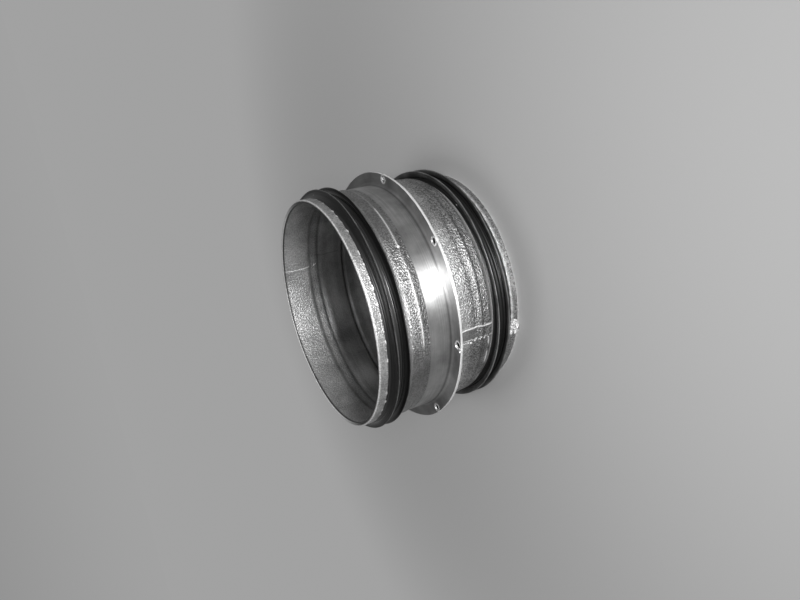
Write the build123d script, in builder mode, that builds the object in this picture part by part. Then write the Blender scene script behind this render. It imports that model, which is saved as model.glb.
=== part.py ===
# Push-fit coupling for round duct: two flanged sheet-steel sleeves set back to back, each with a
# double-lip rubber seal gripped in its hemmed end. It stands on its lower end with its axis along +Z.
# All sizes are in millimetres.
import os
from math import atan2, cos, degrees, radians, sin, tan

from build123d import *

os.makedirs("parts", exist_ok=True)

# Driving sizes of the sheet sleeves
duct_bore = 125.0  # inside diameter of the duct that slides over either end
duct_clearance = 0.5  # room between the spigot and the duct, on the radius
sheet = 0.6  # thickness of the galvanised sheet
root_radius = 2.0  # fillet between the spigot and the flange
burnished_length = 9.3  # straight band beside the flange, rubbed smooth by the flanging tool
dip_depth = 0.3  # shallow hollow that the tool leaves beyond that band
dip_near_run = 1.9  # length of the hollow's side towards the flange
dip_far_run = 3.0  # length of the hollow's side towards the free end
ridge_height = 0.35  # raised line beyond the hollow, above the spigot
ridge_run = 1.4  # length of the ridge's side towards the free end
grained_length = 4.1  # straight band between the ridge and the shoulder
shoulder_length = 2.0  # slope down to the seal's seat
neck_depth = 2.0  # how far the seat lies below the spigot, on the radius
hem_width = 4.6  # length of sheet folded back over the foot of the seal
hem_gap = 0.8  # room inside the hem for the foot of the seal

# Bend radii of the sheet, on its bore side
dip_bend = 8.0
ridge_bend = 1.2
ridge_foot_bend = 3.0
shoulder_bend = 1.6
seat_bend = 2.2

# Driving sizes of the lap seams
lap_width = 6.0
upper_lap_angle = -27.5  # middle of the upper sleeve's lap about +Z, in degrees
lower_lap_angle = -201.1  # middle of the lower sleeve's lap

# Driving sizes of the pressed joining points in the flange
point_count = 8
point_angle = -156.5  # place of the first point about +Z, in degrees
point_bore = 3.2  # inside of the pocket in the upper sheet
point_wall = 0.35  # wall of each pressed cup
point_depth = 0.6  # how far the upper cup goes below the joint between the flanges
point_margin = 0.15  # flat flange on either side of a point
press_clearance = 0.05

# Driving sizes of the seals
seal_clearance = 0.05  # between the rubber and the sheet
foot_end = 1.5  # from the free end to the end of the foot inside the hem
base_height = 1.1  # thickness of the seal's base on its seat
hem_step = 0.3  # from the cut edge of the hem to the base
first_lip = 1.0  # from the start of the base to the first lip
lip_root = 1.5  # thickness of a lip where it leaves the base
lip_tip = 0.6  # thickness of a lip at its rounded edge
lip_height = 4.2  # from the base to the edge of a lip, on the radius
lip_lean = 2.2  # how far a lip leans towards the flange
lip_bow = 0.5  # rise of the curve of a lip's two faces
lip_pitch = 6.0
lip_fillet = 0.5  # where a lip meets the base
heel_length = 1.8  # base beyond the second lip
heel_height = 0.5  # thickness of the base at its thin end

# Sizes that follow
spigot_radius = duct_bore / 2 - duct_clearance
spigot_bore = spigot_radius - sheet
neck_bore = spigot_bore - neck_depth
seat_radius = neck_bore + sheet
fold_radius = (2 * sheet + hem_gap) / 2
base_start = hem_width + hem_step
seat_bend_run = seat_bend * tan(atan2(neck_depth, shoulder_length) / 2)
seat_length = base_start + first_lip + lip_pitch + lip_root + heel_length
band_lengths = burnished_length + dip_near_run + dip_far_run + ridge_run + grained_length
slope_length = shoulder_length + seat_bend_run
insertion_length = root_radius + sheet + band_lengths + slope_length + seat_length
cup_radius = point_bore / 2 + point_wall
button_bore_radius = cup_radius + press_clearance
button_radius = button_bore_radius + point_wall
button_bore_depth = point_depth + press_clearance
button_depth = button_bore_depth + point_wall
point_radius = spigot_radius + root_radius + point_margin + button_radius
flange_radius = point_radius + button_radius + point_margin
lap_step = sheet / 2
lap_sweep = degrees(lap_width / spigot_radius)
lap_end = insertion_length - seat_length - slope_length
spigot_bends = [dip_bend, dip_bend, ridge_bend, ridge_foot_bend, shoulder_bend]


def half_plane(turn, up):
    """Plane through the axis: x runs outwards, y from the flange joint to one free end."""
    across = radians(turn)
    return Plane(
        origin=(0, 0, insertion_length),
        x_dir=(cos(across), sin(across), 0),
        z_dir=(up * sin(across), -up * cos(across), 0),
    )


def spigot_corners(inside):
    """Corners of the spigot's wall from the burnished band to the shoulder, on a line of that radius."""
    burnished_end = sheet + root_radius + burnished_length
    dip_floor = burnished_end + dip_near_run
    ridge_crest = dip_floor + dip_far_run
    return [
        (inside, burnished_end),
        (inside - dip_depth, dip_floor),
        (inside + ridge_height, ridge_crest),
        (inside, ridge_crest + ridge_run),
        (inside, lap_end),
    ]


def sheet_section(plane):
    """Section of one sleeve: flange, spigot, neck and hem as one folded strip of sheet."""
    corners = [
        (flange_radius, 0),
        (spigot_bore, 0),
        *spigot_corners(spigot_bore),
        (neck_bore, lap_end + shoulder_length),
        (neck_bore, insertion_length - fold_radius),
    ]
    bends = [root_radius + sheet, *spigot_bends, seat_bend]
    with BuildSketch(plane) as section:
        with BuildLine():
            wall = FilletPolyline(*corners, radius=bends)
            fold = JernArc(wall @ 1, wall % 1, fold_radius, -180)
            Line(fold @ 1, (neck_bore + 2 * fold_radius, insertion_length - hem_width))
            offset(amount=sheet, side=Side.RIGHT)
        make_face()
    return section.sketch


def lap_section(plane):
    """Section of the doubled sheet along a lap seam, from the flange's fillet to half down the shoulder."""
    inside = spigot_bore - lap_step
    corners = [
        (inside, sheet + root_radius),
        *spigot_corners(inside),
        (inside - neck_depth / 2, lap_end + shoulder_length / 2),
    ]
    with BuildSketch(plane) as section:
        with BuildLine():
            FilletPolyline(*corners, radius=spigot_bends)
            offset(amount=sheet + 2 * lap_step, side=Side.RIGHT)
        make_face()
    return section.sketch


def seal_section(plane):
    """Section of one seal: a foot under the hem, a base on the seat and two leaning lips."""
    inside = seat_radius + seal_clearance
    foot_top = seat_radius + hem_gap - seal_clearance
    base_top = seat_radius + base_height
    tip_top = base_top + lip_height
    foot_y = insertion_length - foot_end
    base_y = insertion_length - base_start
    heel_y = insertion_length - seat_length + seal_clearance
    roots = []
    with BuildSketch(plane) as section:
        with BuildLine():
            start = (base_top, base_y)
            Polyline((inside, heel_y), (inside, foot_y), (foot_top, foot_y), (foot_top, base_y), start)
            for lip in range(2):
                root_y = base_y - first_lip - lip * lip_pitch
                tip_y = root_y - lip_lean
                Line(start, (base_top, root_y))
                front = SagittaArc((base_top, root_y), (tip_top, tip_y), lip_bow)
                edge = RadiusArc(front @ 1, (tip_top - lip_tip / 2, tip_y - lip_tip), lip_tip)
                back = SagittaArc(edge @ 1, (base_top, root_y - lip_root), -lip_bow)
                roots += [front @ 0, back @ 1]
                start = back @ 1
            Polyline(start, (inside + heel_height, heel_y), (inside, heel_y))
        make_face()
        fillet([section.vertices().sort_by_distance(root)[0] for root in roots], lip_fillet)
    return section.sketch


# Upper sleeve, with the pressed pockets of the joining points in its flange
with BuildPart() as upper_sleeve:
    add(sheet_section(half_plane(0, 1)))
    revolve(axis=Axis.Z)
    add(lap_section(half_plane(upper_lap_angle - lap_sweep / 2, 1)))
    revolve(axis=Axis.Z, revolution_arc=lap_sweep)
    with BuildSketch(Plane.XY.offset(insertion_length - point_depth)):
        with PolarLocations(point_radius, point_count, start_angle=point_angle):
            Circle(cup_radius)
    extrude(amount=point_depth)
    with BuildSketch(Plane.XY.offset(insertion_length + sheet)):
        with PolarLocations(point_radius, point_count, start_angle=point_angle):
            Circle(point_bore / 2)
    extrude(amount=point_wall - point_depth - sheet, mode=Mode.SUBTRACT)
upper_sleeve.part.label = "upper_sleeve"
export_step(upper_sleeve.part, "parts/upper_sleeve.step")

# Lower sleeve, the same pressing turned over, with a button under each joining point
with BuildPart() as lower_sleeve:
    add(sheet_section(half_plane(0, -1)))
    revolve(axis=Axis.Z)
    add(lap_section(half_plane(lower_lap_angle - lap_sweep / 2, -1)))
    revolve(axis=Axis.Z, revolution_arc=lap_sweep)
    with BuildSketch(Plane.XY.offset(insertion_length - button_depth)):
        with PolarLocations(point_radius, point_count, start_angle=point_angle):
            Circle(button_radius)
    extrude(amount=button_depth)
    with BuildSketch(Plane.XY.offset(insertion_length)):
        with PolarLocations(point_radius, point_count, start_angle=point_angle):
            Circle(button_bore_radius)
    extrude(amount=-button_bore_depth, mode=Mode.SUBTRACT)
lower_sleeve.part.label = "lower_sleeve"
export_step(lower_sleeve.part, "parts/lower_sleeve.step")

# Upper seal, its foot in the hem of the upper sleeve
with BuildPart() as upper_seal:
    add(seal_section(half_plane(0, 1)))
    revolve(axis=Axis.Z)
upper_seal.part.label = "upper_seal"
export_step(upper_seal.part, "parts/upper_seal.step")

# Lower seal, its foot in the hem of the lower sleeve
with BuildPart() as lower_seal:
    add(seal_section(half_plane(0, -1)))
    revolve(axis=Axis.Z)
lower_seal.part.label = "lower_seal"
export_step(lower_seal.part, "parts/lower_seal.step")
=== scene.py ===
from types import SimpleNamespace

import bpy
import numpy as np
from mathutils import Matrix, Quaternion, Vector


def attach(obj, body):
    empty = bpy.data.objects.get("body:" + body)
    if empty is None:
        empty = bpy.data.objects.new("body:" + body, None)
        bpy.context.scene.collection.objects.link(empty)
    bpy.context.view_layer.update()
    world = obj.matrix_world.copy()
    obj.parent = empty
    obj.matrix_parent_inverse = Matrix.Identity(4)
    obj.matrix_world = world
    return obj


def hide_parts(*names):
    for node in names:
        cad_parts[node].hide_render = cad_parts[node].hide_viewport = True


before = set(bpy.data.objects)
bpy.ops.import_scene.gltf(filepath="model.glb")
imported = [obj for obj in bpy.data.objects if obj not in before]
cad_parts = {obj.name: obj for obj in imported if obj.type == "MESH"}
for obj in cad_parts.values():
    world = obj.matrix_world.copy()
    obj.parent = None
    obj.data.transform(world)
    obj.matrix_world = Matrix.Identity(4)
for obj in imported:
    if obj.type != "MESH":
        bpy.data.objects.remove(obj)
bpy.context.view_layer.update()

mm = 0.001  # sizes below are in millimetres, the scene is in metres
fullTurn = 2 * np.pi
sharpAngle = np.radians(42)  # a sharper edge than this is not shaded smooth


# Camera: fitted to the rim, flange and hem circles of the photograph
cameraView = {
    "place": (-317.32, -36.67, 190.45),
    "aim": (-0.45, 3.51, 35.34),
    "roll": -106.19,  # degrees about the line of sight
    "lens": 28.408,
    "sensor": 36.0,
}


def addCamera(s):
    data = bpy.data.cameras.new("photoCamera")
    data.lens = s["lens"]
    data.sensor_width = s["sensor"]
    data.clip_start = 0.01
    data.clip_end = 200.0
    cam = bpy.data.objects.new("photoCamera", data)
    place = Vector(s["place"]) * mm
    aim = Vector(s["aim"]) * mm
    level = (aim - place).to_track_quat("-Z", "Y")
    cam.rotation_mode = "QUATERNION"
    cam.rotation_quaternion = level @ Quaternion((0, 0, 1), np.radians(s["roll"]))
    cam.location = place
    bpy.context.scene.collection.objects.link(cam)
    bpy.context.scene.camera = cam


addCamera(cameraView)
print("camera placed")


# Curves and grids

def roundedPath(corners, bends, arcStep=12.0):
    # straight runs between the corners, each inner corner swapped for a tangent arc of its bend radius
    pts = np.array(corners, float)
    parts = [pts[:1]]
    for i, bend in enumerate(bends, start=1):
        before = pts[i] - pts[i - 1]
        after = pts[i + 1] - pts[i]
        before /= np.hypot(*before)
        after /= np.hypot(*after)
        turn = np.arctan2(before[0] * after[1] - before[1] * after[0], before @ after)
        start = pts[i] - before * bend * np.tan(abs(turn) / 2)
        centre = start + np.array([-before[1], before[0]]) * np.sign(turn) * bend
        count = max(4, int(np.ceil(np.degrees(abs(turn)) / arcStep)))
        a = np.linspace(0, turn, count + 1)[:, None]
        spoke = start - centre
        across = np.array([-spoke[1], spoke[0]])
        parts.append(centre + np.cos(a) * spoke + np.sin(a) * across)
    parts.append(pts[-1:])
    return np.concatenate(parts)


def spreadRuns(path, steps):
    # adds stations along the path so that no run is longer than the step given for its stretch
    run = np.concatenate([[0], np.cumsum(np.hypot(*np.diff(path, axis=0).T))])
    keep = np.concatenate([[True], np.diff(run) > 1e-4])
    run = run[keep]
    path = path[keep]
    stations = [run]
    for low, high, step in steps:
        stations.append(np.arange(low, min(high, run[-1]), step))
    s = np.unique(np.round(np.concatenate(stations), 3))
    s = s[np.concatenate([[True], np.diff(s) > 0.02])]
    s[-1] = run[-1]
    return s, np.stack([np.interp(s, run, path[:, 0]), np.interp(s, run, path[:, 1])], 1)


def rightNormals(path):
    # unit normals to the right of the way along the path
    along = np.gradient(path, axis=0)
    along /= np.hypot(along[:, 0], along[:, 1])[:, None]
    return np.stack([along[:, 1], -along[:, 0]], 1)


def ringNoise(theta, seed, low, high):
    # a sum of sine waves round the ring, whole numbers of waves from low to high, about unit size
    rng = np.random.default_rng(seed)
    k = np.arange(low, high + 1)
    size = rng.normal(size=k.size) * np.sqrt(2 / k.size)
    phase = rng.uniform(0, fullTurn, k.size)
    total = np.zeros_like(theta)
    for wave, amount, shift in zip(k, size, phase):
        total += amount * np.sin(wave * theta + shift)
    return total


def wrapped(angle):
    # the same angle, between minus and plus half a turn
    return (angle + np.pi) % fullTurn - np.pi


def smooth(x):
    # nothing up to zero, one from one on, with an even S-curve between
    x = np.clip(x, 0, 1)
    return x * x * (3 - 2 * x)


def bell(x, middle, width):
    # one at the middle, falling away on either side as a bell curve
    return np.exp(-((x - middle) / width) ** 2)


def between(theta, low, high, fade):
    # one inside a range of angles in degrees, fading to nothing at either end
    middle = np.radians((low + high) / 2)
    half = np.radians(abs(high - low) / 2)
    return smooth((half - np.abs(wrapped(theta - middle))) / np.radians(fade) + 0.5)


def meshObject(name, co, quads, fields):
    # quads turned outwards by the sign of the volume they enclose, with one value per point and field
    a, b, c, d = (co[quads[:, k]] for k in range(4))
    volume = np.einsum("ij,ij->", a, np.cross(b, c)) + np.einsum("ij,ij->", a, np.cross(c, d))
    if volume < 0:
        quads = quads[:, ::-1]
    mesh = bpy.data.meshes.new(name)
    mesh.vertices.add(len(co))
    mesh.vertices.foreach_set("co", co.astype(np.float32).ravel())
    mesh.loops.add(quads.size)
    mesh.loops.foreach_set("vertex_index", quads.astype(np.int32).ravel())
    mesh.polygons.add(len(quads))
    mesh.polygons.foreach_set("loop_start", np.arange(0, quads.size, 4, dtype=np.int32))
    mesh.polygons.foreach_set("use_smooth", np.ones(len(quads), bool))
    for key, values in fields.items():
        layer = mesh.attributes.new(key, "FLOAT", "POINT")
        layer.data.foreach_set("value", values.astype(np.float32).ravel())
    mesh.update(calc_edges=True)
    mesh.validate()
    mesh.set_sharp_from_angle(angle=sharpAngle)
    obj = bpy.data.objects.new(name, mesh)
    bpy.context.scene.collection.objects.link(obj)
    return obj


def ringMesh(name, r, theta, z, fields):
    # a closed section carried round the axis: rows follow the section, columns go round, both wrap
    rows, cols = r.shape
    co = np.stack([r * np.cos(theta), r * np.sin(theta), z], -1).reshape(-1, 3) * mm
    i = np.arange(rows)[:, None]
    j = np.arange(cols)[None, :]
    nextRow = (i + 1) % rows
    nextCol = (j + 1) % cols
    corner = [i * cols + j, i * cols + nextCol, nextRow * cols + nextCol, nextRow * cols + j]
    return meshObject(name, co, np.stack(corner, -1).reshape(-1, 4), fields)


# Sheet sleeves: one pressing, used both ways up

sleeve = {
    "thickness": 0.6,
    "flangeRadius": 69.0,
    "rootRadius": 2.0,
    "spigotRadius": 62.0,
    "burnished": 9.3,
    "dipNear": 1.9,
    "dipFar": 3.0,
    "dipDepth": 0.3,
    "dipBend": 8.0,
    "ridgeRun": 1.4,
    "ridgeHeight": 0.35,
    "ridgeBend": 1.2,
    "ridgeFootBend": 3.0,
    "grained": 4.1,
    "shoulder": 2.0,
    "shoulderBend": 1.6,
    "neckDepth": 2.0,
    "seatBend": 2.2,
    "seat": 15.2,
    "hemWidth": 4.6,
    "hemGap": 0.8,
    "cutBulge": 0.06,  # how far a sheared edge bulges in its middle
    "lapWidth": 6.0,
    "lapFade": 0.16,  # width of the step at a lap's edge
    "lapWander": 0.3,  # how far the lap's edges stray from straight
    "neckGroove": 0.12,  # depth of the line that the lap leaves inside the neck
    "pointCount": 8,
    "pointFirst": -156.5,
    "pointRadius": 66.5,
    "pointPit": 1.65,
    "pointDepth": 0.75,
    "pointRim": 0.28,
    "pointSwell": 0.22,  # the flange's edge bulges this much beside a joining point
    "buttonRadius": 2.35,
    "buttonHeight": 0.4,
    "rimStray": 0.08,
    "rimTeeth": 0.04,
    "rimTrim": 0.05,
    "rimReach": 1.0,  # how far from the edge the sheet still strays with it
    "hemStray": 0.07,
    "hemReach": 0.35,
    "burrLength": 0.4,
    "outOfRound": 0.06,
    "cutPoints": 5,
    "boreSteps": ((0, 8, 1.2), (8, 80, 1.1)),  # longest steps along each face: from, to, step
    "outerSteps": ((0, 5.2, 0.28), (5.2, 80, 0.8)),
    "columns": 240,
    "pointReach": 3.0,  # columns stand closer this far on either side of a point
    "pointStep": 0.3,
    "leastStep": 0.04,  # columns closer than this are left out
}
upperHalf = {"up": 1, "seed": 11, "lapAngle": -27.5, "rimShine": 1.0, "hemPale": 0.7}
lowerHalf = {"up": -1, "seed": 23, "lapAngle": -201.1, "rimShine": 0.7, "hemPale": 0.15}
runs = {  # ends of stretches of the section, as the way along it from the flange's rim
    "cove": 12.0,
    "neckStart": 30.0,
    "wall": 34.0,
    "slope": 36.0,
    "neckEnd": 47.0,
    "fold": 48.5,
}
bore = sleeve["spigotRadius"] - sleeve["thickness"]
neck = bore - sleeve["neckDepth"]
fold = sleeve["thickness"] + sleeve["hemGap"] / 2
fillet = sleeve["thickness"] + sleeve["rootRadius"]
burnishedEnd = fillet + sleeve["burnished"]
dipFloor = burnishedEnd + sleeve["dipNear"]
ridgeCrest = dipFloor + sleeve["dipFar"]
ridgeFoot = ridgeCrest + sleeve["ridgeRun"]
lapEnd = ridgeFoot + sleeve["grained"]
shoulderFoot = lapEnd + sleeve["shoulder"]
seatTurn = np.arctan2(sleeve["neckDepth"], sleeve["shoulder"])
seatStart = shoulderFoot + sleeve["seatBend"] * np.tan(seatTurn / 2)
halfLength = seatStart + sleeve["seat"]


def sheetPath(steps):
    # the bore side of the sheet, from the flange's rim to the hem's cut edge, with a bend at each corner
    s = sleeve
    hemRadius = neck + 2 * fold
    corners = [
        (s["flangeRadius"], 0),
        (bore, 0),
        (bore, burnishedEnd),
        (bore - s["dipDepth"], dipFloor),
        (bore + s["ridgeHeight"], ridgeCrest),
        (bore, ridgeFoot),
        (bore, lapEnd),
        (neck, shoulderFoot),
        (neck, halfLength),
        (hemRadius, halfLength),
        (hemRadius, halfLength - s["hemWidth"]),
    ]
    dip = [s["dipBend"], s["dipBend"]]
    ridge = [s["ridgeBend"], s["ridgeFootBend"]]
    bends = [s["rootRadius"] + s["thickness"], *dip, *ridge, s["shoulderBend"], s["seatBend"], fold, fold]
    return spreadRuns(roundedPath(corners, bends), steps)


def cutEdge(start, end):
    # a sheared edge: the points between one face and the other, bulging a little in the middle
    t = np.linspace(-1, 1, sleeve["cutPoints"] + 2)[1:-1, None]
    out = np.array([end[1] - start[1], start[0] - end[0]])
    out /= np.hypot(*out)
    return (start + end) / 2 + (end - start) / 2 * t + out * sleeve["cutBulge"] * (1 - t ** 4)


def sheetLoop():
    # the sheet's section: bore face up to the hem, its cut edge, the outer face back, the flange's cut edge
    boreRun, boreFace = sheetPath(sleeve["boreSteps"])
    outerRun, backing = sheetPath(sleeve["outerSteps"])
    boreNormal = rightNormals(boreFace)
    outerNormal = rightNormals(backing)
    outer = backing + outerNormal * sleeve["thickness"]
    hemEdge = cutEdge(boreFace[-1], outer[-1])
    rimEdge = cutEdge(outer[0], boreFace[0])
    cut = len(hemEdge)
    pts = np.concatenate([boreFace, hemEdge, outer[::-1], rimEdge])
    normal = np.concatenate([
        boreNormal,
        np.repeat(boreNormal[-1:], cut, 0),
        outerNormal[::-1],
        np.repeat(outerNormal[:1], cut, 0),
    ])
    side = np.concatenate([-np.ones(len(boreFace)), np.zeros(cut), np.ones(len(outer)), np.zeros(cut)])
    run = np.concatenate([boreRun, np.full(cut, boreRun[-1]), outerRun[::-1], np.zeros(cut)])
    return pts, normal, side, run


def sheetColumns(lapAngle, pointAngles):
    # angles round the ring: even steps, with more beside the lap's edges and across each joining point
    even = np.linspace(-np.pi, np.pi, sleeve["columns"], endpoint=False)
    half = sleeve["lapWidth"] / 2
    near = np.array([-0.9, -0.45, -0.2, -0.08, 0.0, 0.08, 0.2, 0.45, 0.9])
    lap = lapAngle + np.concatenate([near - half, near + half]) / sleeve["spigotRadius"]
    reach = sleeve["pointReach"]
    across = np.arange(-reach, reach + 0.01, sleeve["pointStep"]) / sleeve["pointRadius"]
    points = (np.array(pointAngles)[:, None] + across[None, :]).ravel()
    angles = np.sort(wrapped(np.concatenate([even, lap, points])))
    gap = np.diff(angles, append=angles[0] + fullTurn)
    return angles[gap > sleeve["leastStep"] / sleeve["spigotRadius"]]


def sleeveGrid(half):
    # the plain section carried round the axis; side is the face (bore -1, cut edge 0, outer 1)
    pts, normal, side, run = sheetLoop()
    turns = sleeve["pointFirst"] + 360 / sleeve["pointCount"] * np.arange(sleeve["pointCount"])
    g = SimpleNamespace(up=half["up"], seed=half["seed"], lapAngle=np.radians(half["lapAngle"]))
    g.pointAngles = np.radians(turns)
    angles = sheetColumns(g.lapAngle, g.pointAngles)
    g.theta = np.tile(angles, (len(pts), 1))
    g.plainR = pts[:, :1]
    g.plainY = pts[:, 1:]
    g.r = np.repeat(g.plainR, len(angles), 1)
    g.y = np.repeat(g.plainY, len(angles), 1)
    g.normalR = normal[:, :1]
    g.normalY = normal[:, 1:]
    g.side = side[:, None]
    g.run = run[:, None]
    g.toHem = g.run.max() - g.run
    g.onBore = g.side < -0.5
    g.onOuter = g.side > 0.5
    g.onWall = g.onOuter & (g.run < runs["wall"])
    return g


def foldLap(g):
    # lap seam: both faces step out by half a sheet between two edges that wander a little
    s = sleeve
    g.arc = wrapped(g.theta - g.lapAngle) * s["spigotRadius"]
    half = s["lapWidth"] / 2
    g.inLap = smooth((half - np.abs(g.arc)) / s["lapFade"] + 0.5)
    leavesFillet = smooth((g.y - fillet) / 0.6)
    reachesShoulder = smooth((shoulderFoot + 0.4 - g.y) / 1.2)
    g.lapRun = leavesFillet * reachesShoulder * (g.run < runs["wall"])
    step = g.inLap * g.lapRun * s["thickness"] / 2
    inNeck = smooth((g.run - runs["neckStart"]) / 2)
    g.neckLine = bell(g.arc, half, 0.3) * inNeck * g.onBore * (g.run < runs["neckEnd"])
    g.r = g.r + g.normalR * (step * g.side - g.neckLine * s["neckGroove"])
    g.y = g.y + g.normalY * step * g.side
    wander = s["lapWander"] * (np.sin(g.y * 0.31 + g.seed) + 0.5 * np.sin(g.y * 0.83 + 2 * g.seed))
    nearLap = smooth((9 - np.abs(g.arc)) / 5)
    pastFillet = smooth((g.y - fillet) / 3)
    g.theta = g.theta + wander * nearLap * pastFillet / s["spigotRadius"]


def pressPoints(g):
    # joining points: a pit with a raised rim on the upper flange, a button under the lower one
    s = sleeve
    g.onFlange = g.onOuter & (g.y < s["thickness"] + 0.6) & (g.r > s["spigotRadius"])
    press = np.zeros_like(g.r)
    g.rims = np.zeros_like(g.r)
    g.swell = np.zeros_like(g.r)
    for a in g.pointAngles:
        dx = g.r * np.cos(g.theta) - s["pointRadius"] * np.cos(a)
        dy = g.r * np.sin(g.theta) - s["pointRadius"] * np.sin(a)
        d = np.hypot(dx, dy)
        g.swell += bell(wrapped(g.theta - a) * s["flangeRadius"], 0, 1.5)
        g.rims += bell(d - s["pointPit"], 0.45, 0.4)
        g.rims += 0.75 * smooth((s["pointPit"] - d) / 0.5 + 0.5)
        if g.up > 0:
            press -= s["pointDepth"] * smooth((s["pointPit"] - d) / 0.4 + 0.5)
            press += s["pointRim"] * bell(d - s["pointPit"], 0.4, 0.3)
        else:
            press += s["buttonHeight"] * smooth((s["buttonRadius"] - d) / 0.4 + 0.5)
    g.y = g.y + press * g.onFlange


def shearEdges(g):
    # the flange's rim and the hem stray by a tenth of a millimetre, with small burrs
    s = sleeve
    g.rimNear = np.exp(-g.run / s["rimReach"])
    stray = s["rimStray"] * ringNoise(g.theta, g.seed, 3, 14)
    stray = stray + s["rimTeeth"] * ringNoise(g.theta, g.seed + 1, 30, 90)
    g.r = g.r + g.rimNear * (stray + s["pointSwell"] * g.swell - s["rimTrim"])
    g.burr = ringNoise(g.theta, g.seed + 2, 40, 118)
    teeth = s["burrLength"] * smooth((g.burr - 1.5) / 0.8)
    hemNear = np.exp(-g.toHem / s["hemReach"])
    g.y = g.y - hemNear * (s["hemStray"] * g.burr + teeth)
    # hand-rolled sheet is never quite round
    g.r = g.r + s["outOfRound"] * ringNoise(g.theta, g.seed + 3, 2, 7) * smooth(g.y / 4)


# Wear and painted light of the sheet: how far each place is rubbed, bare, dull, pale, lit or shaded in paint,
# for the zinc to read

zincFields = ("burnish", "bareEdgeAndHighlight", "crestHighlight", "dullAndShade", "hem", "inside", "pressed")
sheetWearAndPaintedLight = {  # stretches of the ring: from and to in degrees, the fade at either end, and an amount if any
    # the ridge's rubbed line, painted as a highlight from -199 to -165
    "ridgeRubAndHighlight": ((-153.5, -130, 3, 0.8), (-130, -110, 8, 0.2), (-199, -165, 5, 1.0)),
    # painted highlights along the shoulder's bend
    "shoulderHighlight": ((-209.5, -205.5, 2, 1.0), (-221, -213.5, 3, 1.0), (-237, -231, 3, 0.5)),
    # the lit stretch; away from it the grained band is made smoother and darkened with painted shade
    "litGrainStretch": (-204, -149, 18),
    "hemStretch": (-203, -80, 8),
    # the stretch of the far fold's strongest painted highlight
    "foldHighlightStretch": (-15, 110, 20),
    # the flange's lit stretch; away from it the flange gets painted shade
    "flangeLitStretch": (-235, -122, 24),
    "borePaintedLight": (  # painted shade and highlights inside the bore: field, angle in degrees, spread in radians, amount
        ("dullAndShade", 21, 0.14, 0.6),
        ("bareEdgeAndHighlight", 50, 0.14, 0.5),
        ("bareEdgeAndHighlight", 2, 0.12, 0.12),
    ),
    "farAngle": 7,  # middle of the far half, in degrees
    "foldFarHighlight": (50, 145, 12),  # painted highlight on faces of the fold on the far half: from, to and fade, in degrees
    "foldNearHighlight": (42, 20),  # painted highlight on the near half: middle and spread
    "foldNearShade": (68, 20),  # painted shade where the face turns inwards: start and fade
    # painted shade on the far half: start and fade; then where the painted shade ends: end and fade
    "foldFarShade": (128, 14),
    "foldShadeEnd": (205, 25),
    # strength of the ridge's rubbed line and of the painted highlights on ridge and shoulder
    "brightLine": 0.8,
    "lapLine": 0.8,
    "neckLine": 0.9,
    "pointLine": 0.9,
    "innerBurnish": 0.55,
    "awayBurnish": 0.4,
    "filletBurnish": 0.6,
    "stripBurnish": 0.4,
    # amounts of dark grey: painted shade in most, a darker ridge and lap strip on the lower sheet
    "awayPaintedShade": 0.4,
    "dipPaintedShade": 0.4,
    "ridgeDull": 0.3,
    "stripDull": 0.45,
    "covePaintedShade": 0.55,
    "flangePaintedShade": 0.5,
    "hollowPaintedShade": 0.4,
    "pastRidgePaintedShade": 0.1,
    "deepPaintedShade": 0.35,
    "palerBeside": 0.5,  # the lower sheet beside the flange
}


def raiseField(fields, key, values):
    # of all the marks at one place, the strongest holds
    fields[key] = np.maximum(fields[key], values)


def stretches(theta, rows):
    # the sum of a few stretches of the ring, each with its own amount
    return sum(amount * between(theta, low, high, fade) for low, high, fade, amount in rows)


def edgeWear(g, fields, half):
    # cut edges, the lap's edges, the rims of the points and the line inside the neck are bare
    lapHalf = sleeve["lapWidth"] / 2
    onCut = np.abs(g.side) < 0.5
    raiseField(fields, "bareEdgeAndHighlight", onCut * np.where(g.run < 1, half["rimShine"], 1.0))
    raiseField(fields, "bareEdgeAndHighlight", half["rimShine"] * g.rimNear * (g.run < 0.2))
    rough = bell(g.arc, -lapHalf, 0.35) * smooth(ringNoise(g.y * 2.1, g.seed + 5, 1, 5) + 0.6)
    lapLine = bell(g.arc, lapHalf, 0.3) + rough
    raiseField(fields, "bareEdgeAndHighlight", sheetWearAndPaintedLight["lapLine"] * lapLine * g.lapRun * g.onWall)
    raiseField(fields, "bareEdgeAndHighlight", sheetWearAndPaintedLight["pointLine"] * g.rims * g.onFlange)
    raiseField(fields, "bareEdgeAndHighlight", sheetWearAndPaintedLight["neckLine"] * g.neckLine)


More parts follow.
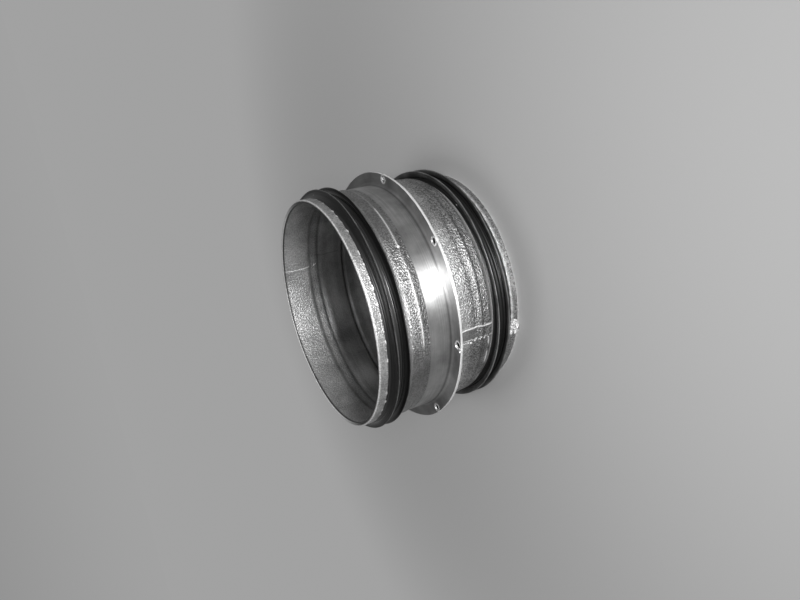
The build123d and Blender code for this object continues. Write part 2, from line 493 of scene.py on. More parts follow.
def foldPaintedLight(g, fields, half):
    # the fold by the angle of its face: a painted highlight on its outer shoulder, painted shade where it
    # turns in
    lean = np.degrees(np.arctan2(g.plainY - halfLength + fold, g.plainR - neck - fold))
    onFold = g.onBore & (g.plainY > halfLength - fold - 0.3)
    far = smooth((np.cos(g.theta - np.radians(sheetWearAndPaintedLight["farAngle"])) + 0.2) / 0.6)
    low, high, fade = sheetWearAndPaintedLight["foldFarHighlight"]
    brightened = smooth((lean - low) / fade) * smooth((high - lean) / fade)
    brightened = brightened * (0.7 + 0.3 * between(g.theta, *sheetWearAndPaintedLight["foldHighlightStretch"]))
    # painted highlights: across the fold on the far half, at its crest on the near half
    raiseField(fields, "bareEdgeAndHighlight", far * brightened * onFold)
    raiseField(fields, "crestHighlight", (1 - far) * bell(lean, *sheetWearAndPaintedLight["foldNearHighlight"]) * onFold)
    nearStart, nearFade = sheetWearAndPaintedLight["foldNearShade"]
    farStart, farFade = sheetWearAndPaintedLight["foldFarShade"]
    end, endFade = sheetWearAndPaintedLight["foldShadeEnd"]
    # painted shade where the fold turns inwards
    turnedIn = (1 - far) * smooth((lean - nearStart) / nearFade) + far * smooth((lean - farStart) / farFade)
    raiseField(fields, "dullAndShade", turnedIn * smooth((end - lean) / endFade) * onFold)
    hem = smooth((g.y - halfLength + sleeve["hemWidth"] + 0.2) / 0.4) * smooth((g.run - runs["fold"]) / 0.6)
    raiseField(fields, "hem", half["hemPale"] * hem)


def boreWearAndPaintedShade(g, fields):
    # inside, the sheet is pale up to the ridge and rubbed past it, with painted shade deeper in and in the
    # hollow
    raiseField(fields, "inside", g.onBore * smooth((runs["fold"] - g.run) / 0.6))
    raiseField(fields, "burnish", sheetWearAndPaintedLight["innerBurnish"] * smooth((ridgeCrest + 1.0 - g.y) / 2.0) * g.onBore)
    # painted shade past the ridge, deep in the bore and in the hollow
    pastRidge = sheetWearAndPaintedLight["pastRidgePaintedShade"] * smooth((ridgeCrest + 1.6 - g.y) / 2.4)
    deep = sheetWearAndPaintedLight["deepPaintedShade"] * smooth((8 - g.y) / 3)
    hollow = sheetWearAndPaintedLight["hollowPaintedShade"] * bell(g.y - ridgeCrest, 1.0, 1.0)
    raiseField(fields, "dullAndShade", g.onBore * (pastRidge + deep + hollow))


def flangeWearAndPaintedShade(g, fields):
    # the pressed flange is paler, painted shade darkens its cove and its unlit sides; the slope to the neck
    # is pale
    raiseField(fields, "pressed", g.onFlange * 1.0)
    # painted shade in the cove
    cove = g.onOuter * bell(g.y - fillet, -1.0, 0.55) * (g.run < runs["cove"])
    raiseField(fields, "dullAndShade", sheetWearAndPaintedLight["covePaintedShade"] * cove)
    # painted shade on the flange away from the lit stretch
    away = 1 - between(g.theta, *sheetWearAndPaintedLight["flangeLitStretch"])
    raiseField(fields, "dullAndShade", sheetWearAndPaintedLight["flangePaintedShade"] * g.onFlange * away)
    slope = g.onOuter * smooth((g.y - lapEnd) / 0.5) * smooth((runs["slope"] - g.run) / 0.6)
    raiseField(fields, "inside", slope)


def upperWearAndPaintedLight(g, fields):
    # a rubbed band by the flange; past it crisp grain on the lit side, painted shade and smoother grain
    # elsewhere
    raiseField(fields, "burnish", smooth((burnishedEnd + 1.4 - g.y) / 0.8) * ~g.onBore)
    # painted shade: the grain away from the lit stretch is darker and smoother
    wearAndPaintedLight = 1 - between(g.theta, *sheetWearAndPaintedLight["litGrainStretch"])
    wearAndPaintedLight = wearAndPaintedLight * g.onWall * smooth((g.y - burnishedEnd - 1.0) / 1.5)
    raiseField(fields, "burnish", sheetWearAndPaintedLight["awayBurnish"] * wearAndPaintedLight)
    raiseField(fields, "dullAndShade", sheetWearAndPaintedLight["awayPaintedShade"] * wearAndPaintedLight)
    # painted shade in the dip
    raiseField(fields, "dullAndShade", sheetWearAndPaintedLight["dipPaintedShade"] * g.onWall * bell(g.y, dipFloor, 1.2))
    ridge = bell(g.y, ridgeCrest, 0.35) * g.onWall
    # the ridge's rubbed line, with a painted highlight in the lit stretch
    raiseField(fields, "bareEdgeAndHighlight", sheetWearAndPaintedLight["brightLine"] * ridge * stretches(g.theta, sheetWearAndPaintedLight["ridgeRubAndHighlight"]))
    raiseField(fields, "bareEdgeAndHighlight", bell(g.toHem, 0, 0.5) * g.onBore * smooth((g.burr - 0.7) / 0.5))
    # painted shade and painted highlights in patches inside
    band = g.onBore * smooth((g.y - 2) / 3) * smooth((18 - g.y) / 4)
    for key, turn, spread, amount in sheetWearAndPaintedLight["borePaintedLight"]:
        raiseField(fields, key, amount * band * bell(g.theta, np.radians(turn), spread))


def lowerWearAndPaintedLight(g, fields):
    # grained up to the flange and paler there, a smoother lap strip darker near it, a dull ridge, a painted
    # shoulder highlight
    raiseField(fields, "burnish", sheetWearAndPaintedLight["filletBurnish"] * smooth((fillet - g.y) / 1.5) * ~g.onBore)
    # a smoother strip along the lap, darker towards the flange
    strip = g.inLap * g.onWall * smooth((15 - g.y) / 5)
    raiseField(fields, "burnish", sheetWearAndPaintedLight["stripBurnish"] * strip)
    raiseField(fields, "dullAndShade", sheetWearAndPaintedLight["stripDull"] * strip)
    raiseField(fields, "dullAndShade", sheetWearAndPaintedLight["ridgeDull"] * g.onWall * bell(g.y - ridgeCrest, 0.4, 1.3))
    raiseField(fields, "inside", sheetWearAndPaintedLight["palerBeside"] * g.onWall * smooth((13 - g.y) / 6))
    # painted highlights on the shoulder's bend
    shoulder = bell(g.y - lapEnd, -0.9, 0.5) * g.onWall
    raiseField(fields, "bareEdgeAndHighlight", sheetWearAndPaintedLight["brightLine"] * shoulder * stretches(g.theta, sheetWearAndPaintedLight["shoulderHighlight"]))
    shine = between(g.theta, *sheetWearAndPaintedLight["hemStretch"]) * (0.6 + 0.4 * smooth(g.burr + 0.5))
    raiseField(fields, "bareEdgeAndHighlight", bell(g.toHem, 0, 0.75) * g.onBore * shine)


def sleeveMesh(name, half):
    # the plain grid, with the lap, the points and the edges worked into it, and then its wear and painted
    # light
    g = sleeveGrid(half)
    foldLap(g)
    pressPoints(g)
    shearEdges(g)
    fields = {key: np.zeros_like(g.r) for key in zincFields}
    edgeWear(g, fields, half)
    foldPaintedLight(g, fields, half)
    boreWearAndPaintedShade(g, fields)
    flangeWearAndPaintedShade(g, fields)
    if g.up > 0:
        upperWearAndPaintedLight(g, fields)
    else:
        lowerWearAndPaintedLight(g, fields)
    return ringMesh(name, g.r, g.theta, halfLength + g.up * g.y, fields)


upperSleeve = sleeveMesh("upperSleeve", upperHalf)
lowerSleeve = sleeveMesh("lowerSleeve", lowerHalf)
print("sleeves made", len(upperSleeve.data.polygons), len(lowerSleeve.data.polygons))


# Rubber seals: a foot under the hem, a base on the seat and two leaning lips

seal = {
    "clearance": 0.05,
    "footEnd": 1.5,
    "baseHeight": 1.1,
    "hemStep": 0.3,
    "firstLip": 1.0,
    "lipRoot": 1.5,
    "lipTip": 0.6,
    "lipHeight": 4.2,
    "lipLean": 2.2,
    "lipBow": 0.5,
    "lipPitch": 6.0,
    "lipFillet": 0.45,
    "heelHeight": 0.5,
    "cornerBend": 0.1,
    "stepBend": 0.05,  # under the hem's cut edge
    "baseBend": 0.15,
    "tipBend": 0.12,
    "backTipBend": 0.2,
    "sway": 0.14,  # how far a soft lip leans to and fro round the ring
    "ripple": 0.04,
    "outOfRound": 0.06,
    "columns": 300,
}
# set is how far the first and the second lip have bent towards the flange; the last three keys grey the lips'
# edges and backs, with wear and a painted sheen
upperLips = {"up": 1, "seed": 41, "set": (0.0, 0.0), "backStart": 0.45, "lipLineWidth": 0.3, "wearAndPaintedLight": 0.65}
lowerLips = {"up": -1, "seed": 57, "set": (0.5, 0.9), "backStart": 0.2, "lipLineWidth": 0.8, "wearAndPaintedLight": 1.0}


def bowCorner(p, q, bow):
    # the corner where the end tangents of an arc from p to q meet, and a bend a little under the arc's radius
    p = np.array(p)
    q = np.array(q)
    chord = np.hypot(*(q - p))
    half = 2 * np.arctan(2 * abs(bow) / chord)
    left = np.array([p[1] - q[1], q[0] - p[0]]) / chord
    apex = (p + q) / 2 + left * np.sign(bow) * chord / 2 * np.tan(half)
    return tuple(apex), 0.8 * chord / (2 * np.sin(half))


def sealSection():
    # a closed outline: up the seat to the foot, out over the base, round each lip and back at the heel
    s = seal
    inside = neck + sleeve["thickness"] + s["clearance"]
    footTop = inside + sleeve["hemGap"] - 2 * s["clearance"]
    baseTop = neck + sleeve["thickness"] + s["baseHeight"]
    tipTop = baseTop + s["lipHeight"]
    footY = halfLength - s["footEnd"]
    baseY = halfLength - sleeve["hemWidth"] - s["hemStep"]
    heelY = halfLength - sleeve["seat"] + s["clearance"]
    corners = [(inside, heelY), (inside, footY), (footTop, footY), (footTop, baseY), (baseTop, baseY)]
    bends = [s["cornerBend"], s["cornerBend"], s["stepBend"], s["baseBend"]]
    for lip in range(2):
        rootY = baseY - s["firstLip"] - lip * s["lipPitch"]
        tipY = rootY - s["lipLean"]
        root = (baseTop, rootY)
        tip = (tipTop, tipY)
        backTip = (tipTop - s["lipTip"] / 2, tipY - s["lipTip"])
        backRoot = (baseTop, rootY - s["lipRoot"])
        front, frontBend = bowCorner(root, tip, -s["lipBow"])
        back, backBend = bowCorner(backTip, backRoot, s["lipBow"])
        corners += [root, front, tip, backTip, back, backRoot]
        bends += [s["lipFillet"], frontBend, s["tipBend"], s["backTipBend"], backBend, s["lipFillet"]]
    corners += [(inside + s["heelHeight"], heelY), (inside, heelY)]
    bends += [s["cornerBend"]]
    return spreadRuns(roundedPath(corners, bends, 14.0), [(0, 80, 0.7)])[1][:-1], baseTop, tipTop


def sealMesh(name, lips):
    # the section carried round the axis; the further a point reaches out on its lip, the more it strays
    s = seal
    pts, baseTop, tipTop = sealSection()
    angles = np.linspace(-np.pi, np.pi, s["columns"], endpoint=False)
    theta = np.tile(angles, (len(pts), 1))
    r = np.repeat(pts[:, :1], len(angles), 1)
    y = np.repeat(pts[:, 1:], len(angles), 1)
    seed = lips["seed"]
    reach = np.clip((r - baseTop) / s["lipHeight"], 0, 1)
    sway = s["sway"] * ringNoise(theta, seed, 2, 9) + s["ripple"] * ringNoise(theta, seed + 1, 12, 40)
    y = y - reach ** 2 * sway
    firstSet, secondSet = lips["set"]
    secondLip = halfLength - sleeve["hemWidth"] - s["lipPitch"]
    y = y - reach ** 2 * np.where(y < secondLip, secondSet, firstSet)
    r = r + reach ** 2 * s["outOfRound"] * ringNoise(theta, seed + 2, 2, 6)
    behind = np.gradient(pts[:, 0])[:, None] < 0
    # grey lip edges and backs: wear, with a painted sheen
    lipBack = smooth((reach - lips["backStart"]) / 0.4) * behind
    lipLine = lips["wearAndPaintedLight"] * bell(r, tipTop - 0.1, lips["lipLineWidth"])
    fields = {"lipWearAndSheen": np.maximum(lipLine, 0.7 * lipBack)}
    return ringMesh(name, r, theta, halfLength + lips["up"] * y, fields)


upperSeal = sealMesh("upperSeal", upperLips)
lowerSeal = sealMesh("lowerSeal", lowerLips)
print("seals made", len(upperSeal.data.polygons))


# Weld beads and spatter: small rough lumps where the seams were tacked

lump = {
    "seed": 71,
    "rows": 9,
    "columns": 12,
    "poleGap": 0.25,  # radians left to the patch that closes a pole
    "bumps": 0.2,
    "drawnOut": 2.0,  # a lump is up to this much longer than it is wide
    "floorGap": 0.02,
}
spatter = {  # ranges of angle in degrees, height above the flange joint, radius, lump size and shine
    "hemTack": {
        "turn": (-208.8, -201.6), "height": (-39.7, -35.4), "radius": (61.3, 62.0),
        "size": (0.3, 0.6), "shine": (0.3, 1.0), "count": 60,
    },
    "lapWeld": {
        "turn": (-205.3, -203.4), "height": (-23.2, -3.4), "radius": (62.1, 62.4),
        "size": (0.12, 0.3), "shine": (0.0, 1.0), "count": 64,
    },
    "edgeOne": {
        "turn": (-204.4, -202.2), "height": (-0.3, 0.7), "radius": (68.0, 69.0),
        "size": (0.3, 0.55), "shine": (0.8, 1.0), "count": 9,
    },
    "edgeTwo": {
        "turn": (-157.6, -155.6), "height": (0.3, 0.7), "radius": (68.1, 68.9),
        "size": (0.22, 0.38), "shine": (0.8, 1.0), "count": 6,
    },
    "edgeThree": {
        "turn": (-112.2, -110.8), "height": (0.4, 0.7), "radius": (66.4, 68.8),
        "size": (0.2, 0.36), "shine": (0.8, 1.0), "count": 6,
    },
    "ridgeDrop": {
        "turn": (-154.2, -153.3), "height": (16.4, 17.2), "radius": (62.25, 62.4),
        "size": (0.3, 0.48), "shine": (0.8, 1.0), "count": 4,
    },
    "neckDrop": {
        "turn": (-25.2, -24.2), "height": (19.0, 20.4), "radius": (61.1, 61.4),
        "size": (0.3, 0.5), "shine": (0.8, 1.0), "count": 4,
    },
}


def lumpShapes(rng, sizes):
    # every lump is a ball whose radius changes from point to point, then drawn out along one direction
    count = len(sizes)
    gap = lump["poleGap"]
    polar = np.linspace(gap, np.pi - gap, lump["rows"])[None, :, None]
    around = np.linspace(0, fullTurn, lump["columns"], endpoint=False)[None, None, :]
    bumpy = np.ones((count, lump["rows"], lump["columns"]))
    for wave in range(2, 6):
        shift = rng.uniform(0, fullTurn, (2, count, 1, 1))
        ripple = np.sin(wave * around + shift[0]) * np.sin(polar) * np.sin(wave * polar + shift[1])
        bumpy += lump["bumps"] * ripple
    size = sizes[:, None, None] * bumpy
    flat = size * np.sin(polar)
    local = np.stack([flat * np.cos(around), flat * np.sin(around), size * np.cos(polar)], -1)
    grain = rng.normal(size=(count, 3))
    grain /= np.linalg.norm(grain, axis=1)[:, None]
    longer = rng.uniform(0.0, lump["drawnOut"], count)
    return local + np.einsum("nijk,nk,nl,n->nijl", local, grain, grain, longer)


def lumpQuads(count):
    # bands round each ball, with a square patch of strips closing either pole
    rows = lump["rows"]
    cols = lump["columns"]
    base = (np.arange(count) * rows * cols)[:, None, None]
    i = np.arange(rows - 1)[None, :, None]
    j = np.arange(cols)[None, None, :]
    nextCol = (j + 1) % cols
    corner = [i * cols + j, i * cols + nextCol, (i + 1) * cols + nextCol, (i + 1) * cols + j]
    quads = [np.stack([base + c for c in corner], -1).reshape(-1, 4)]
    strip = np.arange(cols // 2 - 1)[None, :]
    for row, order in ((0, (3, 2, 1, 0)), (rows - 1, (0, 1, 2, 3))):
        first = base[:, :, 0] + row * cols
        cap = [first + strip, first + strip + 1, first + cols - 2 - strip, first + cols - 1 - strip]
        quads.append(np.stack([cap[k] for k in order], -1).reshape(-1, 4))
    return np.concatenate(quads)


def lumpMesh(name, s):
    # lumps are spread evenly over the ranges of each spot
    rng = np.random.default_rng(lump["seed"])
    keys = ("turn", "height", "radius", "size", "shine")
    drawn = [[rng.uniform(*spot[k], spot["count"]) for k in keys] for spot in s.values()]
    turn, height, radius, size, shine = np.concatenate(drawn, axis=1)
    local = lumpShapes(rng, size)
    turn = np.radians(turn)
    centre = np.stack([radius * np.cos(turn), radius * np.sin(turn), halfLength + height], 1)
    co = (local + centre[:, None, None, :]).reshape(-1, 3) * mm
    co[:, 2] = np.maximum(co[:, 2], lump["floorGap"] * mm)  # dressed flat where the part stands
    fields = {key: np.zeros(len(co)) for key in zincFields}
    fields["bareEdgeAndHighlight"] = np.repeat(shine, lump["rows"] * lump["columns"])
    return meshObject(name, co, lumpQuads(len(size)), fields)


weldSpatter = lumpMesh("weldSpatter", spatter)
print("spatter made", len(weldSpatter.data.polygons))


# Materials

def newMaterial(name):
    mat = bpy.data.materials.new(name)
    mat.use_nodes = True
    tree = mat.node_tree
    return mat, tree, tree.nodes["Principled BSDF"]


def node(tree, kind, inputs=None, **props):
    # an input that is another node's output is linked, any other is set as a value
    n = tree.nodes.new(kind)
    for key, value in props.items():
        setattr(n, key, value)
    for key, value in (inputs or {}).items():
        if hasattr(value, "is_output"):
            tree.links.new(value, n.inputs[key])
        else:
            n.inputs[key].default_value = value
    return n


def mathNode(tree, operation, a, b=0.0):
    return node(tree, "ShaderNodeMath", {0: a, 1: b}, operation=operation).outputs[0]


def noiseOut(tree, vector, scale, detail, roughness):
    inputs = {"Vector": vector, "Scale": scale, "Detail": detail, "Roughness": roughness}
    return node(tree, "ShaderNodeTexNoise", inputs).outputs["Fac"]


def remap(tree, value, low, high, toLow, toHigh):
    # the stretch from low to high, carried over to the one from toLow to toHigh
    return node(tree, "ShaderNodeMapRange", {0: value, 1: low, 2: high, 3: toLow, 4: toHigh}).outputs[0]


def smoothRemap(tree, value, low, high):
    # nothing up to low, one from high on, with an even S-curve between
    inputs = {0: value, 1: low, 2: high, 3: 0.0, 4: 1.0}
    return node(tree, "ShaderNodeMapRange", inputs, interpolation_type="SMOOTHSTEP").outputs[0]


def mixColour(tree, factor, a, b):
    return node(tree, "ShaderNodeMix", {0: factor, 6: a, 7: b}, data_type="RGBA").outputs[2]


def mixValue(tree, factor, a, b):
    return node(tree, "ShaderNodeMix", {0: factor, 2: a, 3: b}).outputs[0]


def attribute(tree, name):
    return node(tree, "ShaderNodeAttribute", attribute_name=name).outputs["Fac"]


def ringCoords(tree, place):
    # places for lines round the axis: the radius and the height, with only a slow change round the ring
    xyz = node(tree, "ShaderNodeSeparateXYZ", {0: place})
    square = [mathNode(tree, "MULTIPLY", xyz.outputs[k], xyz.outputs[k]) for k in range(2)]
    radius = mathNode(tree, "SQRT", mathNode(tree, "ADD", square[0], square[1]))
    slow = [mathNode(tree, "MULTIPLY", xyz.outputs[k], 0.02) for k in range(2)]
    across = mathNode(tree, "ADD", radius, slow[0])
    along = mathNode(tree, "ADD", xyz.outputs[2], slow[1])
    return node(tree, "ShaderNodeCombineXYZ", {0: across, 1: along}).outputs[0]


def grey(v):
    return (v, v, v, 1.0)


zinc = {
    "darkGrain": 0.1,
    "paleGrain": 0.42,
    "burnishedDark": 0.35,
    "burnishedPale": 0.52,
    "pressed": 0.66,  # the flange
    # bare edges and painted highlights
    "bareEdgeAndHighlight": 0.86,
    "hem": 0.4,
    # dull zinc and painted shade
    "dullAndShade": 0.06,
    "inside": 0.6,
    "hemShare": 0.6,  # how far the grain gives way to that tone
    "insideShare": 0.45,
    "grainScale": 1250.0,
    "lineScale": 1900.0,
    "mottleScale": 75.0,
    "mottleDark": 0.7,
    "mottlePale": 1.25,
    "grainRough": 0.39,
    "grainRoughSpread": 0.06,
    "burnishRough": 0.5,
    "burnishRoughSpread": 0.05,
    "edgeRough": 0.4,
    "grainMetal": 0.92,
    "burnishMetal": 0.9,
    "softMetal": 0.6,  # of the paler sheet inside the ends and on the hem
    "edgeMetal": 0.5,
    "brushed": 0.86,  # least pull of the burnish lines on a highlight
    "brushTurn": 0.25,  # a quarter of a turn, so that the highlight spreads across the lines
    "grainBump": 0.0005,
    "hemBump": 0.4,  # heights on the hem and of the burnish lines, against the grain
    "lineBump": 0.035,
}


def galvanisedSheet(s):
    # grained zinc that the fields turn burnished, bare, dull, pale, painted bright or painted dark, with the
    # burnish brushed round
    mat, tree, bsdf = newMaterial("galvanisedSheet")
    place = node(tree, "ShaderNodeTexCoord").outputs["Object"]
    burnish = attribute(tree, "burnish")
    edgeAndHighlight = attribute(tree, "bareEdgeAndHighlight")
    crestHighlight = attribute(tree, "crestHighlight")
    hem = attribute(tree, "hem")
    inside = attribute(tree, "inside")
    grain = noiseOut(tree, place, s["grainScale"], 2.0, 0.55)
    mottle = noiseOut(tree, place, s["mottleScale"], 4.0, 0.6)
    lines = noiseOut(tree, ringCoords(tree, place), s["lineScale"], 3.0, 0.6)

    speck = remap(tree, grain, 0.36, 0.66, 0.0, 1.0)
    grained = mixColour(tree, speck, grey(s["darkGrain"]), grey(s["paleGrain"]))
    insideShare = mathNode(tree, "MULTIPLY", inside, s["insideShare"])
    paleInside = mixColour(tree, insideShare, grained, grey(s["inside"]))
    hemShare = mathNode(tree, "MULTIPLY", hem, s["hemShare"])
    hemmed = mixColour(tree, hemShare, paleInside, grey(s["hem"]))
    ringTone = remap(tree, lines, 0.3, 0.7, 0.0, 1.0)
    brightened = mixColour(tree, ringTone, grey(s["burnishedDark"]), grey(s["burnishedPale"]))
    flat = mixColour(tree, attribute(tree, "pressed"), brightened, grey(s["pressed"]))
    body = mixColour(tree, burnish, hemmed, flat)
    shade = remap(tree, mottle, 0.3, 0.7, s["mottleDark"], s["mottlePale"])
    shadeAll = node(tree, "ShaderNodeCombineXYZ", {0: shade, 1: shade, 2: shade}).outputs[0]
    shaded = node(tree, "ShaderNodeVectorMath", {0: body, 1: shadeAll}, operation="MULTIPLY").outputs[0]
    # painted highlight on the fold's crest, broken by the grain
    paintedCrest = mathNode(tree, "MULTIPLY", crestHighlight, remap(tree, grain, 0.35, 0.5, 0.5, 1.0))
    bright = mathNode(tree, "MAXIMUM", edgeAndHighlight, paintedCrest)
    # dull zinc and painted shade
    dulledAndShaded = mixColour(tree, attribute(tree, "dullAndShade"), shaded, grey(s["dullAndShade"]))
    # bare edges and painted highlights
    colour = mixColour(tree, bright, dulledAndShaded, grey(s["bareEdgeAndHighlight"]))
    tree.links.new(colour, bsdf.inputs["Base Color"])

    spread = s["grainRoughSpread"]
    grainRough = remap(tree, speck, 0.0, 1.0, s["grainRough"] + spread, s["grainRough"] - spread)
    spread = s["burnishRoughSpread"]
    lineRough = remap(tree, lines, 0.3, 0.7, s["burnishRough"] - spread, s["burnishRough"] + spread)
    rough = mixValue(tree, bright, mixValue(tree, burnish, grainRough, lineRough), s["edgeRough"])
    tree.links.new(rough, bsdf.inputs["Roughness"])
    soft = mathNode(tree, "MAXIMUM", inside, hem)
    grainMetal = mixValue(tree, soft, s["grainMetal"], s["softMetal"])
    metal = mixValue(tree, bright, mixValue(tree, burnish, grainMetal, s["burnishMetal"]), s["edgeMetal"])
    tree.links.new(metal, bsdf.inputs["Metallic"])
    brushed = mathNode(tree, "MULTIPLY", burnish, remap(tree, lines, 0.35, 0.65, s["brushed"], 1.0))
    tree.links.new(brushed, bsdf.inputs["Anisotropic"])
    bsdf.inputs["Anisotropic Rotation"].default_value = s["brushTurn"]
    tangent = node(tree, "ShaderNodeTangent", direction_type="RADIAL", axis="Z")
    tree.links.new(tangent.outputs[0], bsdf.inputs["Tangent"])

    grainHeight = mathNode(tree, "MULTIPLY", grain, remap(tree, hem, 0.0, 1.0, 1.0, s["hemBump"]))
    lineHeight = mathNode(tree, "MULTIPLY", lines, s["lineBump"])
    height = mixValue(tree, burnish, grainHeight, lineHeight)
    bump = node(tree, "ShaderNodeBump", {"Strength": 1.0, "Distance": s["grainBump"], "Height": height})
    tree.links.new(bump.outputs[0], bsdf.inputs["Normal"])
    return mat


rubber = {
    "black": 0.003,
    "dust": 0.4,
    # worn lip edges with a painted sheen
    "wearAndSheenGrey": 0.12,
    "streakGrey": 0.008,
    "streakScale": 620.0,
    "fineScale": 1400.0,
    "wideScale": 110.0,
    "dustScale": 420.0,
    "mattRough": 0.4,
    "streakRough": 0.22,
    "sheen": 0.8,
    "bump": 0.0006,
    "fineBump": 0.08,  # against the moulded streaks
}


def sealRubber(s):
    # black rubber with moulded streaks round it, lips grey with wear and a painted sheen, and a few specks of
    # dust
    mat, tree, bsdf = newMaterial("sealRubber")
    place = node(tree, "ShaderNodeTexCoord").outputs["Object"]
    lipWearAndSheen = attribute(tree, "lipWearAndSheen")
    fine = noiseOut(tree, place, s["fineScale"], 2.0, 0.6)
    wide = noiseOut(tree, place, s["wideScale"], 3.0, 0.6)
    cells = node(tree, "ShaderNodeTexVoronoi", {"Vector": place, "Scale": s["dustScale"]})
    chance = node(tree, "ShaderNodeSeparateColor", {0: cells.outputs["Color"]}).outputs[0]
    small = remap(tree, cells.outputs["Distance"], 0.1, 0.16, 1.0, 0.0)
    rare = remap(tree, chance, 0.92, 0.94, 0.0, 1.0)
    settled = remap(tree, wide, 0.45, 0.65, 0.0, 1.0)
    dust = mathNode(tree, "MULTIPLY", mathNode(tree, "MULTIPLY", small, rare), settled)
    moulded = noiseOut(tree, ringCoords(tree, place), s["streakScale"], 2.0, 0.6)
    streak = remap(tree, moulded, 0.48, 0.68, 0.0, 1.0)
    body = mixColour(tree, streak, grey(s["black"]), grey(s["streakGrey"]))
    # grey of worn lip edges and of painted sheen
    lipWearSheenShare = mathNode(tree, "MULTIPLY", lipWearAndSheen, remap(tree, wide, 0.35, 0.6, 0.25, 0.9))
    wearAndPaintedLight = mixColour(tree, lipWearSheenShare, body, grey(s["wearAndSheenGrey"]))
    tree.links.new(mixColour(tree, dust, wearAndPaintedLight, grey(s["dust"])), bsdf.inputs["Base Color"])
    rough = remap(tree, streak, 0.0, 1.0, s["mattRough"], s["streakRough"])
    tree.links.new(rough, bsdf.inputs["Roughness"])
    bsdf.inputs["Specular IOR Level"].default_value = s["sheen"]
    height = mathNode(tree, "ADD", moulded, mathNode(tree, "MULTIPLY", fine, s["fineBump"]))
    bump = node(tree, "ShaderNodeBump", {"Strength": 1.0, "Distance": s["bump"], "Height": height})
    tree.links.new(bump.outputs[0], bsdf.inputs["Normal"])
    return mat


zincMaterial = galvanisedSheet(zinc)
rubberMaterial = sealRubber(rubber)
for piece, nodeName, mat, slotName in (
    (upperSleeve, "upper_sleeve", zincMaterial, "galvanised_sheet"),
    (lowerSleeve, "lower_sleeve", zincMaterial, "galvanised_sheet"),
    (upperSeal, "upper_seal", rubberMaterial, "seal_rubber"),
    (lowerSeal, "lower_seal", rubberMaterial, "seal_rubber"),
    (weldSpatter, None, zincMaterial, "galvanised_sheet"),
):
    piece.data.materials.append(mat)
    if nodeName:
        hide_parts(nodeName)
    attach(piece, "root")
print("materials set")


# Floor and light

stage = {
    "floorSize": 80.0,
    "floorTone": 0.5,
    "floorRough": 0.9,
    "worldTone": 0.2,
    "backdropTone": 0.36,  # what the camera and the metal see beyond the floor
    "skyTone": 0.07,  # the backdrop darkens to this overhead
    "fadeNear": 0.1,  # from here out the floor passes into the backdrop, in metres from the axis
    "fadeFar": 0.42,
    "skyLow": -0.05,  # rise of the line of sight over which the backdrop darkens, as its sine
    "skyHigh": 0.7,
}
lamps = {  # azimuth and elevation from the object, distance and panel size in metres, radiance
    "key": {"turn": -176.0, "rise": 4.0, "away": 0.75, "size": (0.3, 0.16), "radiance": 28.0},
    "front": {"turn": -172.0, "rise": 13.2, "away": 0.6, "size": (0.2, 0.05), "radiance": 72.0},
    "top": {"turn": 7.0, "rise": 84.0, "away": 0.75, "size": (0.24, 0.14), "radiance": 7.0},
}
sun = {"turn": -165.0, "rise": 40.0, "away": 2.0, "strength": 0.35, "spread": 25.0}


def seenRays(tree):
    # one for rays from the camera, a reflection or a clear material, nothing for rays that carry light
    path = node(tree, "ShaderNodeLightPath")
    seen = mathNode(tree, "MAXIMUM", path.outputs["Is Camera Ray"], path.outputs["Is Glossy Ray"])
    return mathNode(tree, "MAXIMUM", seen, path.outputs["Is Transmission Ray"])


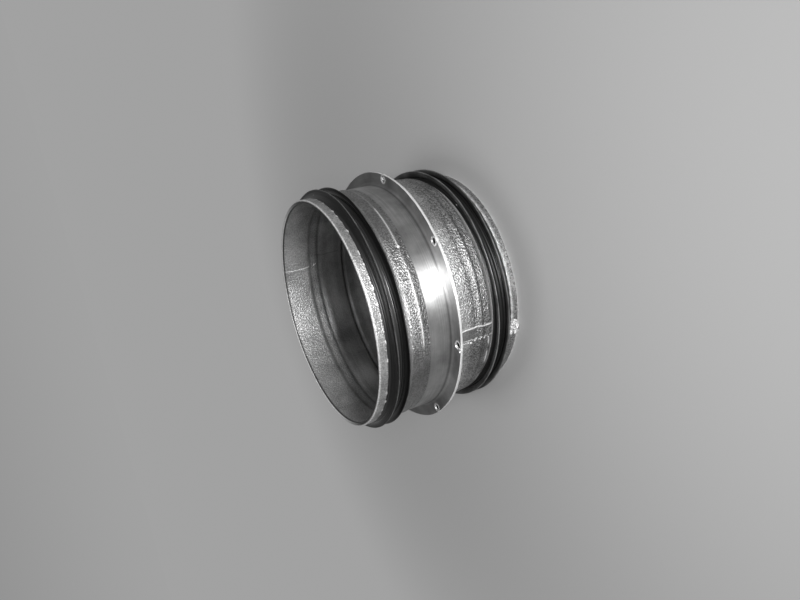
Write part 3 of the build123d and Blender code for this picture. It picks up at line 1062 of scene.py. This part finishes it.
def addFloor(s):
    half = s["floorSize"] / 2
    corner = np.array([(-half, -half, 0), (half, -half, 0), (half, half, 0), (-half, half, 0)])
    floor = meshObject("floor", corner, np.array([[0, 1, 2, 3]]), {})
    mat, tree, bsdf = newMaterial("paleFloor")
    bsdf.inputs["Base Color"].default_value = grey(s["floorTone"])
    bsdf.inputs["Roughness"].default_value = s["floorRough"]
    bsdf.inputs["Specular IOR Level"].default_value = 0.0
    # away from the object the floor passes into the backdrop's tone, so that no horizon shows
    place = node(tree, "ShaderNodeTexCoord").outputs["Object"]
    out = node(tree, "ShaderNodeVectorMath", {0: place}, operation="LENGTH").outputs["Value"]
    fade = smoothRemap(tree, out, s["fadeNear"], s["fadeFar"])
    factor = mathNode(tree, "MULTIPLY", fade, seenRays(tree))
    plain = node(tree, "ShaderNodeEmission", {"Color": grey(s["backdropTone"])})
    mixed = node(tree, "ShaderNodeMixShader", {0: factor, 1: bsdf.outputs[0], 2: plain.outputs[0]})
    tree.links.new(mixed.outputs[0], tree.nodes["Material Output"].inputs["Surface"])
    floor.data.materials.append(mat)


def towards(turn, rise):
    # the direction at an azimuth and an elevation, in degrees
    a = np.radians(turn)
    b = np.radians(rise)
    return Vector((np.cos(b) * np.cos(a), np.cos(b) * np.sin(a), np.sin(b)))


def addLamp(name, data, s):
    lamp = bpy.data.objects.new(name, data)
    out = towards(s["turn"], s["rise"])
    lamp.location = out * s["away"] + Vector((0, 0, halfLength * mm))
    lamp.rotation_mode = "QUATERNION"
    lamp.rotation_quaternion = (-out).to_track_quat("-Z", "Y")
    bpy.context.scene.collection.objects.link(lamp)


def addLights():
    for name, s in lamps.items():
        data = bpy.data.lights.new(name, "AREA")
        data.shape = "RECTANGLE"
        data.size, data.size_y = s["size"]
        data.energy = s["radiance"] * np.pi * s["size"][0] * s["size"][1]
        addLamp(name, data, s)
    data = bpy.data.lights.new("sun", "SUN")
    data.energy = sun["strength"]
    data.angle = np.radians(sun["spread"])
    addLamp("sun", data, sun)


def addWorld(s):
    # an even grey light, while the camera and the metal see a backdrop that darkens upwards
    world = bpy.data.worlds.new("studio")
    world.use_nodes = True
    tree = world.node_tree
    way = node(tree, "ShaderNodeTexCoord").outputs["Generated"]
    height = node(tree, "ShaderNodeSeparateXYZ", {0: way}).outputs["Z"]
    fade = smoothRemap(tree, height, s["skyLow"], s["skyHigh"])
    backdrop = mixColour(tree, fade, grey(s["backdropTone"]), grey(s["skyTone"]))
    colour = mixColour(tree, seenRays(tree), grey(s["worldTone"]), backdrop)
    tree.links.new(colour, tree.nodes["Background"].inputs["Color"])
    bpy.context.scene.world = world


addFloor(stage)
addLights()
addWorld(stage)
bpy.context.scene.view_settings.view_transform = "Standard"
print("floor and light placed")
